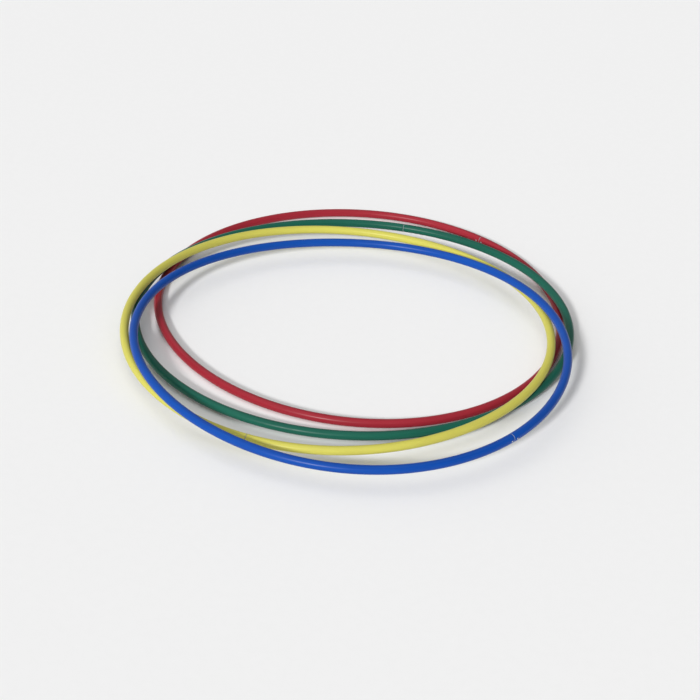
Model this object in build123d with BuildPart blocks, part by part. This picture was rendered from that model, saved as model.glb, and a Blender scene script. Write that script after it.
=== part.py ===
from build123d import *
from math import cos, pi, radians, sin
import os

os.makedirs("parts", exist_ok=True)

# A loose pile of four plastic rhythmic hoops, in millimetres. Z is up and the floor is Z 0.
# Each hoop is a bent tube whose two ends meet at a seam, joined by a plug and held by two pins.

# one hoop
RING_RADIUS = 392.0  # centre line of the tube, so 800 over the outside
TUBE_RADIUS = 8.0
TUBE_WALL = 1.8
BORE_RADIUS = TUBE_RADIUS - TUBE_WALL
PATH_STEPS = 36
SMALL_TURN = 0.001
PLUG_STEPS = 6

# the plug inside the seam
COLLAR_THICKNESS = 0.8
COLLAR_CLEARANCE = 0.05
PLUG_HALF_LENGTH = 32.0
PLUG_CORE_RADIUS = 5.2
PLUG_NOSE_LENGTH = 5.0
PLUG_NOSE_RADIUS = 4.0
RIB_CLEARANCE = 0.2
RIB_RADIUS = BORE_RADIUS - RIB_CLEARANCE
RIB_THICKNESS = 1.6
RIB_FIRST = 13.0
RIB_PITCH = 5.0
RIB_COUNT = 4

# the drive pins, one each side of the seam
PIN_OFFSET = 6.5
PIN_HEAD_RADIUS = 1.5
PIN_HEAD_HEIGHT = 0.6
PIN_HEAD_ROUND = 0.35
PIN_SHANK_RADIUS = 0.7
PIN_SHANK_LENGTH = 6.0
PIN_POINT_LENGTH = 0.8
PIN_POINT_RADIUS = 0.15
PIN_SEAT = TUBE_RADIUS + 0.03
PIN_HOLE_RADIUS = PIN_SHANK_RADIUS + 0.06
PIN_HOLE_START = TUBE_RADIUS + 1
PIN_HOLE_END_TUBE = BORE_RADIUS - 1
PIN_HOLE_END_PLUG = PIN_SEAT - PIN_SHANK_LENGTH - 1

# Where and how each hoop lies. at: centre in plan. oval and pear: how far it is out of round, and the
# direction it bulges, in degrees round from the right. heights: of the tube's centre line at the
# hoop's right, back, left and front, as it leans on the hoops below it. seam: degrees round from the
# right. pins: 1 with the heads on the outside of the ring, -1 on the inside.
PILE = {
    "red": {
        "at": (12, 133), "oval": (7, 106), "pear": (3, 46),
        "heights": (8, 8, 8, 8), "seam": 52, "pins": -1,
    },
    "green": {
        "at": (0, 68), "oval": (17, 8), "pear": (1, 30),
        "heights": (22, 28, 21, 8.1), "seam": 76, "pins": 1,
    },
    "yellow": {
        "at": (-29, 12), "oval": (6, 40), "pear": (4, -2),
        "heights": (34.3, 29.3, 38.3, 23.3), "seam": 250, "pins": -1,
    },
    "blue": {
        "at": (2, -55), "oval": (2, -29), "pear": (5, 50),
        "heights": (53.5, 39.5, 51.5, 38.5), "seam": 314, "pins": 1,
    },
}


def lie(hoop, turn):
    """A point on the tube's centre line, turn radians round from the right, in the pile's own place."""
    right, back, left, front = hoop["heights"]
    level = (right + back + left + front) / 4
    drape = (right + left - back - front) / 4
    rise = (right - left) / 2 * cos(turn) + (back - front) / 2 * sin(turn)
    (oval, oval_at), (pear, pear_at) = hoop["oval"], hoop["pear"]
    bulge = oval * cos(2 * (turn - radians(oval_at))) + pear * cos(3 * (turn - radians(pear_at)))
    radius = RING_RADIUS + bulge
    return Vector(
        hoop["at"][0] + radius * cos(turn),
        hoop["at"][1] + radius * sin(turn),
        level + rise + drape * cos(2 * turn),
    )


# the middle of the whole pile in plan, which is moved to X 0, Y 0
MIDDLE_STEPS = 1440
SPOTS = [lie(hoop, 2 * pi * i / MIDDLE_STEPS) for hoop in PILE.values() for i in range(MIDDLE_STEPS)]
MIDDLE_X = (min(p.X for p in SPOTS) + max(p.X for p in SPOTS)) / 2
MIDDLE_Y = (min(p.Y for p in SPOTS) + max(p.Y for p in SPOTS)) / 2


def centre(hoop, turn):
    """A point on the tube's centre line, with the pile's middle at X 0, Y 0."""
    return lie(hoop, turn) - Vector(MIDDLE_X, MIDDLE_Y, 0)


def along(hoop, turn):
    """The tube's direction at a turn."""
    return (centre(hoop, turn + SMALL_TURN) - centre(hoop, turn - SMALL_TURN)).normalized()


def across(hoop, turn):
    """The plane square across the tube, with its X axis pointing out of the ring."""
    return Plane(centre(hoop, turn), x_dir=Vector(cos(turn), sin(turn), 0), z_dir=along(hoop, turn))


def stretch(hoop, first, last, steps):
    """The centre line from one turn to another, as a smooth curve."""
    points = [centre(hoop, first + (last - first) * i / steps) for i in range(steps + 1)]
    ends = (along(hoop, first), along(hoop, last))
    return Spline(*points, tangents=ends, tangent_scalars=(1, 1))


def turn_by(length):
    """The turn that a length along the tube makes."""
    return length / RING_RADIUS


def pin_turns(hoop):
    seam = radians(hoop["seam"])
    return [seam + side * turn_by(PIN_OFFSET) for side in (-1, 1)]


def pin_plane(hoop, turn, depth):
    """A plane facing the way a pin's head faces, at a distance from the centre line."""
    out = across(hoop, turn).x_dir * hoop["pins"]
    return Plane(centre(hoop, turn) + out * depth, x_dir=along(hoop, turn), z_dir=out)


def make_tube(hoop):
    seam = radians(hoop["seam"])
    half_gap = turn_by(COLLAR_THICKNESS / 2 + COLLAR_CLEARANCE)
    first, last = seam + half_gap, seam + 2 * pi - half_gap
    with BuildPart() as tube:
        with BuildLine() as path:
            stretch(hoop, first, last, PATH_STEPS)
        with BuildSketch(across(hoop, first)):
            Circle(TUBE_RADIUS)
            Circle(BORE_RADIUS, mode=Mode.SUBTRACT)
        sweep(path=path.line)
        for turn in pin_turns(hoop):
            with BuildSketch(pin_plane(hoop, turn, PIN_HOLE_START)):
                Circle(PIN_HOLE_RADIUS)
            extrude(amount=PIN_HOLE_END_TUBE - PIN_HOLE_START, mode=Mode.SUBTRACT)
    return tube


def make_plug(hoop):
    seam = radians(hoop["seam"])
    reach = turn_by(PLUG_HALF_LENGTH - PLUG_NOSE_LENGTH)
    with BuildPart() as plug:
        with BuildLine() as path:
            stretch(hoop, seam - reach, seam + reach, PLUG_STEPS)
        with BuildSketch(across(hoop, seam - reach)):
            Circle(PLUG_CORE_RADIUS)
        sweep(path=path.line)
        # the collar that shows at the seam, flush with the tube
        with BuildSketch(across(hoop, seam)):
            Circle(TUBE_RADIUS)
        extrude(amount=COLLAR_THICKNESS / 2, both=True)
        for side in (-1, 1):
            for i in range(RIB_COUNT):
                turn = seam + side * turn_by(RIB_FIRST + RIB_PITCH * i)
                with BuildSketch(across(hoop, turn)):
                    Circle(RIB_RADIUS)
                extrude(amount=RIB_THICKNESS / 2, both=True)
            # the tapered nose
            end = across(hoop, seam + side * reach)
            with BuildSketch(end):
                Circle(PLUG_CORE_RADIUS)
            with BuildSketch(end.offset(side * PLUG_NOSE_LENGTH)):
                Circle(PLUG_NOSE_RADIUS)
            loft()
        for turn in pin_turns(hoop):
            with BuildSketch(pin_plane(hoop, turn, PIN_HOLE_START)):
                Circle(PIN_HOLE_RADIUS)
            extrude(amount=PIN_HOLE_END_PLUG - PIN_HOLE_START, mode=Mode.SUBTRACT)
    return plug


def make_pin(hoop, turn):
    seat = pin_plane(hoop, turn, PIN_SEAT)
    with BuildPart() as pin:
        with BuildSketch(seat):
            Circle(PIN_HEAD_RADIUS)
        extrude(amount=PIN_HEAD_HEIGHT)
        top = pin.edges().sort_by(lambda e: (e.center() - seat.origin).dot(seat.z_dir))[-1]
        fillet(top, PIN_HEAD_ROUND)
        with BuildSketch(seat):
            Circle(PIN_SHANK_RADIUS)
        extrude(amount=-(PIN_SHANK_LENGTH - PIN_POINT_LENGTH))
        with BuildSketch(seat.offset(-(PIN_SHANK_LENGTH - PIN_POINT_LENGTH))):
            Circle(PIN_SHANK_RADIUS)
        with BuildSketch(seat.offset(-PIN_SHANK_LENGTH)):
            Circle(PIN_POINT_RADIUS)
        loft()
    return pin


for colour, hoop in PILE.items():
    made = {"tube": make_tube(hoop), "plug": make_plug(hoop)}
    for i, turn in enumerate(pin_turns(hoop)):
        made[f"pin_{i + 1}"] = make_pin(hoop, turn)
    for piece, built in made.items():
        built.part.label = f"{colour}_{piece}"
        export_step(built.part, f"parts/{colour}_{piece}.step")
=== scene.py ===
import math

import bmesh
import bpy
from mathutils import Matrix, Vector


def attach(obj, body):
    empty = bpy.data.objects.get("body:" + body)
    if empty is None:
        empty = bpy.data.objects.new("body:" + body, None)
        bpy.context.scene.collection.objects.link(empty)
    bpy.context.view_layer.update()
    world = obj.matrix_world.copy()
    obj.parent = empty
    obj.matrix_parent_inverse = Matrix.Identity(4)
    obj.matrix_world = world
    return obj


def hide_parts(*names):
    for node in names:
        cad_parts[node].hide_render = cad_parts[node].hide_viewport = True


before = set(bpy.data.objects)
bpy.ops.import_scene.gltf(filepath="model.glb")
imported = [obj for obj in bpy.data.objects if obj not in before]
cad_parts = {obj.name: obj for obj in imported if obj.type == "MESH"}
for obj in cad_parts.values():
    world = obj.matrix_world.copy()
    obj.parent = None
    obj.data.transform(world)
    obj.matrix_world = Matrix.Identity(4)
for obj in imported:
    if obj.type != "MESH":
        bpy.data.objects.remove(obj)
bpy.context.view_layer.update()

# A loose pile of four plastic rhythmic hoops, on a pale floor in soft light. Each CAD piece is replaced by
# a finely drawn mesh of the same shape and size. Lengths are in metres and angles in degrees, unless a
# comment says otherwise.

MM = 0.001

# one hoop, as in the CAD
RING_RADIUS = 0.392  # centre line of the tube, so 0.8 over the outside
TUBE_RADIUS = 0.008
TUBE_WALL = 0.0018
BORE_RADIUS = TUBE_RADIUS - TUBE_WALL
MIDDLE_STEPS = 1440
SMALL_TURN = 0.001  # in radians

# the plug inside the seam, as in the CAD
COLLAR_THICKNESS = 0.0008
COLLAR_CLEARANCE = 0.00005
PLUG_HALF_LENGTH = 0.032
PLUG_CORE_RADIUS = 0.0052
PLUG_NOSE_LENGTH = 0.005
PLUG_NOSE_RADIUS = 0.004
RIB_CLEARANCE = 0.0002
RIB_RADIUS = BORE_RADIUS - RIB_CLEARANCE
RIB_THICKNESS = 0.0016
RIB_FIRST = 0.013
RIB_PITCH = 0.005
RIB_COUNT = 4

# the drive pins, one each side of the seam, as in the CAD
PIN_OFFSET = 0.0065
PIN_CLEARANCE = 0.00003
PIN_SEAT = TUBE_RADIUS + PIN_CLEARANCE
PIN_HEAD_RADIUS = 0.0015
PIN_HEAD_HEIGHT = 0.0006
PIN_SHANK_RADIUS = 0.0007
PIN_SHANK_LENGTH = 0.006
PIN_POINT_LENGTH = 0.0008
PIN_POINT_RADIUS = 0.00015

# how each edge is eased, which the CAD leaves square or plainer
TUBE_END_ROUND = 0.00035
PLUG_EDGE = 0.0001
RIB_EDGE_LENGTH = 0.0002
PIN_EDGE = 0.0001
PIN_RIM_HEIGHT = 0.0002  # the side of a pin's head, below its dome

# How finely the pieces are drawn: steps round, steps along, and the sharpest corner that is smoothed over.
TUBE_ROUND_STEPS = 40
TUBE_OUTER_STEPS = 480
TUBE_BORE_STEPS = 160
TUBE_END_STEPS = 4
TUBE_SMOOTH = 40
PLUG_ROUND_STEPS = 48
PLUG_SMOOTH = 35
PIN_ROUND_STEPS = 28
PIN_DOME_STEPS = 6
PIN_SMOOTH = 50
SKIN_WIDTH = 0.05  # how far the UV map runs round a piece, about the real way round the tube

# Where and how each hoop lies, as in the CAD, with lengths in millimetres. at: centre in plan. oval and
# pear: how far it is out of round, and the direction it bulges, round from the right. heights: of the
# tube's centre line at the hoop's right, back, left and front. seam: round from the right. pins: 1 with
# the heads on the outside of the ring, -1 on the inside.
PILE = {
    "red": {
        "at": (12, 133), "oval": (7, 106), "pear": (3, 46),
        "heights": (8, 8, 8, 8), "seam": 52, "pins": -1,
    },
    "green": {
        "at": (0, 68), "oval": (17, 8), "pear": (1, 30),
        "heights": (22, 28, 21, 8.1), "seam": 76, "pins": 1,
    },
    "yellow": {
        "at": (-29, 12), "oval": (6, 40), "pear": (4, -2),
        "heights": (34.3, 29.3, 38.3, 23.3), "seam": 250, "pins": -1,
    },
    "blue": {
        "at": (2, -55), "oval": (2, -29), "pear": (5, 50),
        "heights": (53.5, 39.5, 51.5, 38.5), "seam": 314, "pins": 1,
    },
}

# each tube's plastic: its colour, the paler colour of draw lines and scuffs, and the darker one of clouds
PLASTICS = {
    "red": ((0.31, 0.014, 0.026), (0.43, 0.08, 0.10), (0.26, 0.011, 0.021)),
    "green": ((0.006, 0.096, 0.063), (0.045, 0.18, 0.13), (0.004, 0.075, 0.050)),
    "yellow": ((0.555, 0.522, 0.080), (0.64, 0.61, 0.24), (0.50, 0.46, 0.072)),
    "blue": ((0.001, 0.059, 0.34), (0.03, 0.14, 0.45), (0.001, 0.045, 0.29)),
}

# how strongly each mark shows on a tube
DRAW_PALENESS = 0.22
SCUFF_PALENESS = 0.35
SCUFF_ROUGHNESS = 0.25
GRAIN_ROUGHNESS = 0.05
MARKS_SHIFT = (3.7, 0.31, 1.0)  # how far one hoop's marks are moved from the last one's

# the other materials: two colours that each one wanders between
MILKY_GREY = ((0.22, 0.25, 0.28), (0.31, 0.34, 0.37))
BRIGHT_STEEL = ((0.56, 0.56, 0.58), (0.34, 0.33, 0.32))
PALE_PAPER = ((0.86, 0.86, 0.86), (0.88, 0.88, 0.88))

# the stage: a wide floor just under the pile, and how bright the room is on the left and on the right
FLOOR_HALF_WIDTH = 40.0
FLOOR_DROP = 0.0003
ROOM_LEFT = 0.75
ROOM_RIGHT = 0.21

# the Mix node's colour sockets, by number, because its number and vector sockets have the same names
MIX_A, MIX_B, MIX_RESULT = 6, 7, 2

# the camera
CAMERA_AZIMUTH = -90  # straight in front
CAMERA_DISTANCE = 3.119
CAMERA_ELEVATION = 31.39
CAMERA_ROLL = 3.78
CAMERA_AIM = Vector((0.0022, -0.0567, 0.0))
SENSOR_MM = 36.0
LENS_MM = 86.729


def lie(hoop, turn):
    """A point on the tube's centre line, turn radians round from the right, in the pile's own place."""
    right, back, left, front = (h * MM for h in hoop["heights"])
    level = (right + back + left + front) / 4
    drape = (right + left - back - front) / 4
    rise = (right - left) / 2 * math.cos(turn) + (back - front) / 2 * math.sin(turn)
    (oval, oval_at), (pear, pear_at) = hoop["oval"], hoop["pear"]
    radius = RING_RADIUS + oval * MM * math.cos(2 * (turn - math.radians(oval_at)))
    radius += pear * MM * math.cos(3 * (turn - math.radians(pear_at)))
    x = hoop["at"][0] * MM + radius * math.cos(turn)
    y = hoop["at"][1] * MM + radius * math.sin(turn)
    return Vector((x, y, level + rise + drape * math.cos(2 * turn)))


def middle_of_pile():
    """The middle of the whole pile in plan."""
    turns = [2 * math.pi * i / MIDDLE_STEPS for i in range(MIDDLE_STEPS)]
    spots = [lie(hoop, turn) for hoop in PILE.values() for turn in turns]
    x = (min(p.x for p in spots) + max(p.x for p in spots)) / 2
    y = (min(p.y for p in spots) + max(p.y for p in spots)) / 2
    return Vector((x, y, 0))


MIDDLE = middle_of_pile()


def centre(hoop, turn):
    """A point on the tube's centre line, with the pile's middle at X 0, Y 0."""
    return lie(hoop, turn) - MIDDLE


def from_seam(hoop, length):
    """The tube's centre point at a length from the seam, with its outward, upward and forward directions."""
    turn = math.radians(hoop["seam"]) + length / RING_RADIUS
    ahead = (centre(hoop, turn + SMALL_TURN) - centre(hoop, turn - SMALL_TURN)).normalized()
    out = Vector((math.cos(turn), math.sin(turn), 0))
    out = (out - ahead * out.dot(ahead)).normalized()
    return centre(hoop, turn), out, out.cross(ahead), ahead


def quarter(steps):
    """The angles, in radians, that part a quarter turn into equal steps, without its start."""
    return [math.pi / 2 * i / steps for i in range(1, steps + 1)]


def turned_mesh(name, place, stations, steps, closed=False):
    """A mesh turned round a line: place(length) gives the line's frame, stations are (length, radius)."""
    verts, faces, uvs = [], [], []
    for length, radius in stations:
        origin, out, up, _ = place(length)
        for k in range(steps):
            a = 2 * math.pi * k / steps
            verts.append(origin + (out * math.cos(a) + up * math.sin(a)) * radius)
    rows = len(stations)
    for i in range(rows if closed else rows - 1):
        j = (i + 1) % rows
        u0, u1 = stations[i][0], stations[j][0]
        for k in range(steps):
            m = (k + 1) % steps
            faces.append((i * steps + k, i * steps + m, j * steps + m, j * steps + k))
            v0, v1 = k / steps * SKIN_WIDTH, (k + 1) / steps * SKIN_WIDTH
            uvs += [(u0, v0), (u0, v1), (u1, v1), (u1, v0)]
    if not closed:
        for row, order in ((0, -1), (rows - 1, 1)):
            faces.append([row * steps + k for k in range(steps)][::order])
            uvs += [(stations[row][0], 0.0)] * steps
    mesh = bpy.data.meshes.new(name)
    mesh.from_pydata(verts, [], faces)
    layer = mesh.uv_layers.new(name="UVMap")
    for loop, uv in zip(layer.data, uvs):
        loop.uv = uv
    mesh.validate()
    mesh.update()
    return mesh


def add_piece(mesh, smooth, material):
    """Puts a mesh in the scene: faces outward, corners smooth up to an angle, and its material on."""
    bm = bmesh.new()
    bm.from_mesh(mesh)
    bmesh.ops.recalc_face_normals(bm, faces=bm.faces)
    bm.to_mesh(mesh)
    bm.free()
    for face in mesh.polygons:
        face.use_smooth = True
    mesh.set_sharp_from_angle(angle=math.radians(smooth))
    mesh.materials.append(material)
    piece = bpy.data.objects.new(mesh.name, mesh)
    bpy.context.scene.collection.objects.link(piece)
    return piece


class Nodes:
    """A material's node tree, with short ways to add to it."""

    def __init__(self, name):
        self.material = bpy.data.materials.new(name)
        self.material.use_nodes = True
        self.tree = self.material.node_tree
        self.tree.nodes.clear()
        self.shader = self.add("ShaderNodeBsdfPrincipled")
        out = self.add("ShaderNodeOutputMaterial")
        self.link(self.shader.outputs["BSDF"], out.inputs["Surface"])

    def add(self, kind, **values):
        node = self.tree.nodes.new(kind)
        for key, value in values.items():
            setattr(node, key, value)
        return node

    def link(self, a, b):
        self.tree.links.new(a, b)

    def where(self, kind):
        """The coordinates of the surface: Object, or UV, which runs along and round a piece."""
        return self.add("ShaderNodeTexCoord").outputs[kind]

    def mapped(self, at, **values):
        """Coordinates moved by Location or multiplied by Scale."""
        mapping = self.add("ShaderNodeMapping")
        for key, value in values.items():
            mapping.inputs[key].default_value = value
        self.link(at, mapping.inputs["Vector"])
        return mapping.outputs["Vector"]

    def noise(self, at, scale, detail=2.0, rough=0.5, stretch=(1, 1, 1)):
        texture = self.add("ShaderNodeTexNoise")
        self.link(self.mapped(at, Scale=stretch), texture.inputs["Vector"])
        texture.inputs["Scale"].default_value = scale
        texture.inputs["Detail"].default_value = detail
        texture.inputs["Roughness"].default_value = rough
        return texture.outputs["Fac"]

    def ramp(self, value, low, high, bottom=0.0, top=1.0):
        """Takes low to bottom and high to top, and stops there."""
        node = self.add("ShaderNodeMapRange", clamp=True)
        self.link(value, node.inputs["Value"])
        node.inputs["From Min"].default_value = low
        node.inputs["From Max"].default_value = high
        node.inputs["To Min"].default_value = bottom
        node.inputs["To Max"].default_value = top
        return node.outputs["Result"]

    def mix(self, factor, a, b):
        """Two colours, each a tuple or a socket, mixed by a socket."""
        node = self.add("ShaderNodeMix", data_type="RGBA")
        self.link(factor, node.inputs["Factor"])
        for socket, value in ((MIX_A, a), (MIX_B, b)):
            if isinstance(value, tuple):
                node.inputs[socket].default_value = (*value, 1)
            else:
                self.link(value, node.inputs[socket])
        return node.outputs[MIX_RESULT]

    def math(self, operation, a, b=0.0):
        """One sum on sockets or plain numbers."""
        node = self.add("ShaderNodeMath", operation=operation)
        for i, value in enumerate((a, b)):
            if isinstance(value, float):
                node.inputs[i].default_value = value
            else:
                self.link(value, node.inputs[i])
        return node.outputs["Value"]

    def bump(self, height, strength, distance, before=None):
        node = self.add("ShaderNodeBump")
        node.inputs["Strength"].default_value = strength
        node.inputs["Distance"].default_value = distance
        self.link(height, node.inputs["Height"])
        if before is not None:
            self.link(before, node.inputs["Normal"])
        return node.outputs["Normal"]


def tube_plastic(name, colour, pale, dark, seed):
    """Extruded polyethylene: faint draw lines along the tube, cloudy pigment, rubbed and scuffed skin."""
    n = Nodes(name)
    at = n.mapped(n.where("UV"), Location=[seed * shift for shift in MARKS_SHIFT])
    cloud = n.noise(at, scale=9.0, detail=3.0, rough=0.55, stretch=(1, 6, 1))
    draw = n.noise(at, scale=40.0, stretch=(0.05, 60, 1))
    grain = n.noise(at, scale=900.0, detail=3.0, rough=0.6)
    rub = n.noise(at, scale=26.0, detail=4.0, rough=0.6, stretch=(1, 4, 1))

    # scuffs: the thin lines where a noise crosses its middle, kept only where the tube is rubbed
    scratch = n.noise(at, scale=60.0, detail=5.0, rough=0.75, stretch=(1, 9, 1))
    off_middle = n.math("ABSOLUTE", n.math("SUBTRACT", scratch, 0.5))
    line = n.ramp(off_middle, low=0.0, high=0.012, bottom=1.0, top=0.0)
    scuff = n.math("MULTIPLY", line, n.ramp(rub, low=0.54, high=0.7))

    body = n.mix(n.ramp(cloud, low=0.3, high=0.7), dark, colour)
    body = n.mix(n.ramp(draw, low=0.35, high=0.75, top=DRAW_PALENESS), body, pale)
    body = n.mix(n.math("MULTIPLY", scuff, SCUFF_PALENESS), body, pale)
    n.link(body, n.shader.inputs["Base Color"])

    rough = n.ramp(rub, low=0.35, high=0.7, bottom=0.27, top=0.37)
    rough = n.math("ADD", rough, n.math("MULTIPLY", scuff, SCUFF_ROUGHNESS))
    rough = n.math("ADD", rough, n.math("MULTIPLY", grain, GRAIN_ROUGHNESS))
    n.link(rough, n.shader.inputs["Roughness"])

    bump = n.bump(draw, strength=0.10, distance=0.0004)
    bump = n.bump(grain, strength=0.05, distance=0.0002, before=bump)
    bump = n.bump(scuff, strength=0.15, distance=-0.0002, before=bump)
    n.link(bump, n.shader.inputs["Normal"])
    n.shader.inputs["IOR"].default_value = 1.5
    n.shader.inputs["Specular IOR Level"].default_value = 0.15
    return n.material


def plug_plastic():
    """Natural, slightly milky moulded nylon."""
    n = Nodes("plug_plastic")
    at = n.where("Object")
    cloud = n.noise(at, scale=120.0, detail=3.0)
    grain = n.noise(at, scale=2500.0)
    n.link(n.mix(cloud, *MILKY_GREY), n.shader.inputs["Base Color"])
    n.link(n.ramp(grain, low=0.3, high=0.7, bottom=0.42, top=0.6), n.shader.inputs["Roughness"])
    n.link(n.bump(grain, strength=0.15, distance=0.0001), n.shader.inputs["Normal"])
    return n.material


def pin_steel():
    """Bright steel with a fine grain and a few darker specks."""
    n = Nodes("pin_steel")
    at = n.where("Object")
    fine = n.noise(at, scale=4000.0)
    speck = n.ramp(n.noise(at, scale=900.0, detail=4.0), low=0.55, high=0.75)
    n.link(n.mix(speck, *BRIGHT_STEEL), n.shader.inputs["Base Color"])
    n.link(n.ramp(fine, low=0.3, high=0.7, bottom=0.22, top=0.38), n.shader.inputs["Roughness"])
    n.link(n.bump(fine, strength=0.1, distance=0.00005), n.shader.inputs["Normal"])
    n.shader.inputs["Metallic"].default_value = 1.0
    return n.material


def floor_paper():
    """Matt, nearly white paper."""
    n = Nodes("floor_paper")
    grain = n.noise(n.where("Object"), scale=60.0, detail=4.0)
    n.link(n.mix(grain, *PALE_PAPER), n.shader.inputs["Base Color"])
    n.shader.inputs["Roughness"].default_value = 0.9
    n.shader.inputs["Specular IOR Level"].default_value = 0.2
    return n.material


def make_tube(colour, hoop, material):
    """The whole tube from one side of the seam round to the other, with a rounded mouth at each end."""
    whole = 2 * math.pi * RING_RADIUS
    gap = COLLAR_THICKNESS / 2 + COLLAR_CLEARANCE

    mouth = [(gap, TUBE_RADIUS - TUBE_END_ROUND)]
    for a in quarter(TUBE_END_STEPS):
        length = gap + TUBE_END_ROUND * (1 - math.cos(a))
        mouth.append((length, TUBE_RADIUS - TUBE_END_ROUND * (1 - math.sin(a))))
    far_mouth = [(whole - length, radius) for length, radius in reversed(mouth)]

    first, last = mouth[-1][0], whole - mouth[-1][0]
    step = (last - first) / TUBE_OUTER_STEPS
    outer = [(first + step * i, TUBE_RADIUS) for i in range(1, TUBE_OUTER_STEPS)]
    step = (whole - 2 * gap) / TUBE_BORE_STEPS
    bore = [(whole - gap - step * i, BORE_RADIUS) for i in range(TUBE_BORE_STEPS + 1)]

    mesh = turned_mesh(
        f"{colour}_tube_skin",
        lambda length: from_seam(hoop, length),
        mouth + outer + far_mouth + bore,
        TUBE_ROUND_STEPS,
        closed=True,
    )
    return add_piece(mesh, TUBE_SMOOTH, material)


def make_plug(colour, hoop, material):
    """The plug, with a collar flush with the tube at the seam, and ribs and a tapered nose each side."""
    collar = COLLAR_THICKNESS / 2
    half = [(collar - PLUG_EDGE, TUBE_RADIUS), (collar, TUBE_RADIUS - PLUG_EDGE), (collar, PLUG_CORE_RADIUS)]
    for i in range(RIB_COUNT):
        start = RIB_FIRST + RIB_PITCH * i - RIB_THICKNESS / 2
        end = start + RIB_THICKNESS
        half += [
            (start, PLUG_CORE_RADIUS),
            (start, RIB_RADIUS - PLUG_EDGE),
            (start + RIB_EDGE_LENGTH, RIB_RADIUS),
            (end - RIB_EDGE_LENGTH, RIB_RADIUS),
            (end, RIB_RADIUS - PLUG_EDGE),
            (end, PLUG_CORE_RADIUS),
        ]
    half.append((PLUG_HALF_LENGTH - PLUG_NOSE_LENGTH, PLUG_CORE_RADIUS))
    half.append((PLUG_HALF_LENGTH, PLUG_NOSE_RADIUS))
    other_half = [(-length, radius) for length, radius in reversed(half)]

    mesh = turned_mesh(
        f"{colour}_plug_body",
        lambda length: from_seam(hoop, length),
        other_half + [(0.0, TUBE_RADIUS)] + half,
        PLUG_ROUND_STEPS,
    )
    return add_piece(mesh, PLUG_SMOOTH, material)


def make_pin(colour, hoop, number, side, material):
    """A drive pin, pointed at its foot and domed at its head. side: -1 before the seam, 1 after it."""
    origin, out, up, ahead = from_seam(hoop, side * PIN_OFFSET)
    facing = out * hoop["pins"]

    foot = PIN_SEAT - PIN_SHANK_LENGTH
    rim = PIN_SEAT + PIN_RIM_HEIGHT
    stations = [
        (foot, PIN_POINT_RADIUS),
        (foot + PIN_POINT_LENGTH, PIN_SHANK_RADIUS),
        (PIN_SEAT, PIN_SHANK_RADIUS),
        (PIN_SEAT, PIN_HEAD_RADIUS - PIN_EDGE),
        (PIN_SEAT + PIN_EDGE, PIN_HEAD_RADIUS),
        (rim, PIN_HEAD_RADIUS),
    ]
    dome_height = PIN_HEAD_HEIGHT - PIN_RIM_HEIGHT
    for a in quarter(PIN_DOME_STEPS)[:-1]:
        stations.append((rim + dome_height * math.sin(a), PIN_HEAD_RADIUS * math.cos(a)))

    mesh = turned_mesh(
        f"{colour}_pin_{number}_steel",
        lambda length: (origin + facing * length, ahead, up, facing),
        stations,
        PIN_ROUND_STEPS,
    )
    return add_piece(mesh, PIN_SMOOTH, material)


plug_material = plug_plastic()
pin_material = pin_steel()
for seed, (colour, hoop) in enumerate(PILE.items(), start=1):
    body = f"{colour}_hoop"
    plastic = tube_plastic(f"{colour}_plastic", *PLASTICS[colour], seed)
    made = [
        (make_tube(colour, hoop, plastic), f"{colour}_tube", f"{colour}_plastic"),
        (make_plug(colour, hoop, plug_material), f"{colour}_plug", "plug_plastic"),
    ]
    for number, side in ((1, -1), (2, 1)):
        pin = make_pin(colour, hoop, number, side, pin_material)
        made.append((pin, f"{colour}_pin_{number}", "pin_steel"))
    for obj, node, slot in made:
        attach(obj, body)
        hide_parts(node)


def make_floor():
    """A plain pale sheet, just under the pile."""
    mesh = bpy.data.meshes.new("floor")
    signs = ((-1, -1), (1, -1), (1, 1), (-1, 1))
    corners = [(x * FLOOR_HALF_WIDTH, y * FLOOR_HALF_WIDTH, 0) for x, y in signs]
    mesh.from_pydata(corners, [], [(0, 1, 2, 3)])
    mesh.materials.append(floor_paper())
    floor = bpy.data.objects.new("floor", mesh)
    floor.location.z = -FLOOR_DROP
    bpy.context.scene.collection.objects.link(floor)


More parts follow.
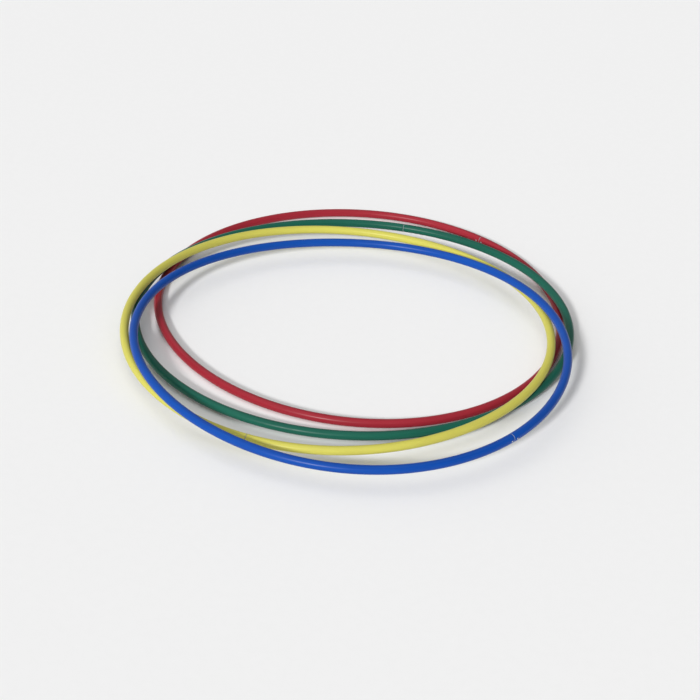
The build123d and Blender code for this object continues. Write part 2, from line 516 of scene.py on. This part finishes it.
def direction(azimuth, elevation):
    """The way to a far point: azimuth in degrees round from the right, elevation in degrees up."""
    turn, rise = math.radians(azimuth), math.radians(elevation)
    return Vector((math.cos(turn) * math.cos(rise), math.sin(turn) * math.cos(rise), math.sin(rise)))


def sun(name, azimuth, elevation, strength, spread):
    """A soft light from a long way off: where it comes from and how wide it is, in degrees."""
    data = bpy.data.lights.new(name, "SUN")
    data.energy = strength
    data.angle = math.radians(spread)
    light = bpy.data.objects.new(name, data)
    light.rotation_euler = direction(azimuth, elevation).to_track_quat("Z", "Y").to_euler()
    bpy.context.scene.collection.objects.link(light)


def make_room():
    """A white room, brighter on the left than on the right."""
    world = bpy.data.worlds.new("studio")
    world.use_nodes = True
    tree = world.node_tree
    place = tree.nodes.new("ShaderNodeTexCoord")
    way = tree.nodes.new("ShaderNodeSeparateXYZ")
    brightness = tree.nodes.new("ShaderNodeMapRange")
    brightness.inputs["From Min"].default_value = -1.0
    brightness.inputs["From Max"].default_value = 1.0
    brightness.inputs["To Min"].default_value = ROOM_LEFT
    brightness.inputs["To Max"].default_value = ROOM_RIGHT
    background = tree.nodes["Background"]
    background.inputs["Color"].default_value = (1, 1, 1, 1)
    tree.links.new(place.outputs["Generated"], way.inputs["Vector"])
    tree.links.new(way.outputs["X"], brightness.inputs["Value"])
    tree.links.new(brightness.outputs["Result"], background.inputs["Strength"])
    bpy.context.scene.world = world


def make_camera():
    """The camera, in front of the pile and above it, looking at its aim and rolled a little."""
    data = bpy.data.cameras.new("camera")
    data.sensor_width = SENSOR_MM
    data.lens = LENS_MM
    camera = bpy.data.objects.new("camera", data)
    back = direction(CAMERA_AZIMUTH, CAMERA_ELEVATION)
    camera.location = CAMERA_AIM + back * CAMERA_DISTANCE
    camera.rotation_euler = back.to_track_quat("Z", "Y").to_euler()
    camera.rotation_euler.rotate_axis("Z", math.radians(CAMERA_ROLL))
    bpy.context.scene.collection.objects.link(camera)
    bpy.context.scene.camera = camera


make_floor()
sun("key", azimuth=248, elevation=27, strength=2.69, spread=7)
sun("overhead", azimuth=180, elevation=75, strength=0.46, spread=60)
make_room()
make_camera()
bpy.context.scene.view_settings.view_transform = "Standard"
